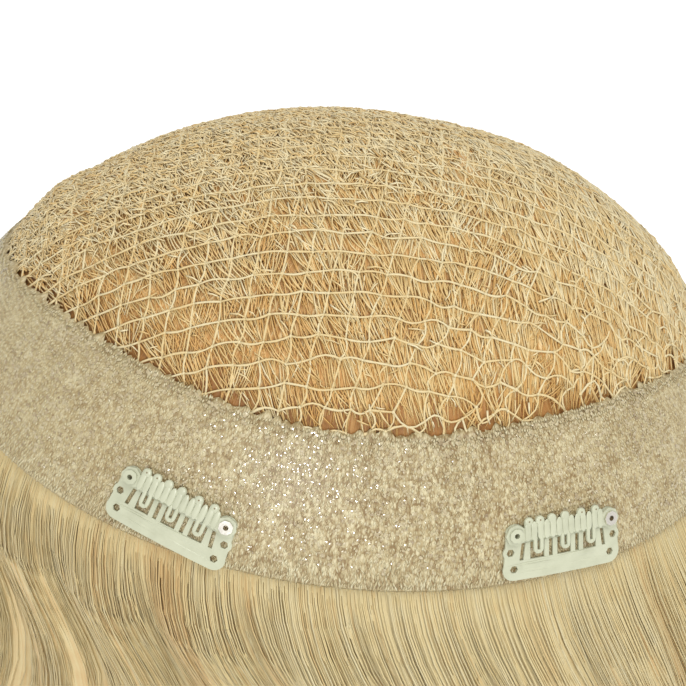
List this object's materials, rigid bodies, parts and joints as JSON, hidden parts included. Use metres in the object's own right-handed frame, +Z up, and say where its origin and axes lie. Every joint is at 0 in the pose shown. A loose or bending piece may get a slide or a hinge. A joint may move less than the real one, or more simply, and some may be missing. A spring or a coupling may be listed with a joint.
{
  "type": "toupee hairpiece",
  "caption": "Hairpiece turned inside out: coarse net crown, clear skin band round its edge with snap comb clips, and a skirt of wavy blonde hair below the rim.",
  "frame": {"origin": "top of the hollow, on the inside of the hair layer at the middle of the crown, where the crown of a head or a block carries the piece", "axes": "+X along the length of the oval base, the way the hair sweeps; +Y away from the side with the clips; +Z up, out of the crown"},
  "size_m": [0.1994, 0.155, 0.1975],
  "materials": {
    "net_thread": "fine pale straw thread, knotted with short hair, matt",
    "clear_skin": "thin clear skin over hair knots, grainy with small bright glints",
    "blonde_hair": "straight to wavy hair strands, golden blonde with light and brown streaks, soft sheen",
    "clip_paint": "pale greenish cream paint over pressed sheet steel, satin",
    "bare_steel": "bare eyelet, shiny"
  },
  "bodies": {
    "root": {"net_crown": "net_thread", "skin_band": "clear_skin", "hair": "blonde_hair", "left_clip_frame": "clip_paint", "left_clip_comb": "clip_paint", "left_clip_eyelet_a": "clip_paint", "left_clip_eyelet_b": "bare_steel", "right_clip_frame": "clip_paint", "right_clip_comb": "clip_paint", "right_clip_eyelet_a": "clip_paint", "right_clip_eyelet_b": "bare_steel"}
  },
  "joints": []
}
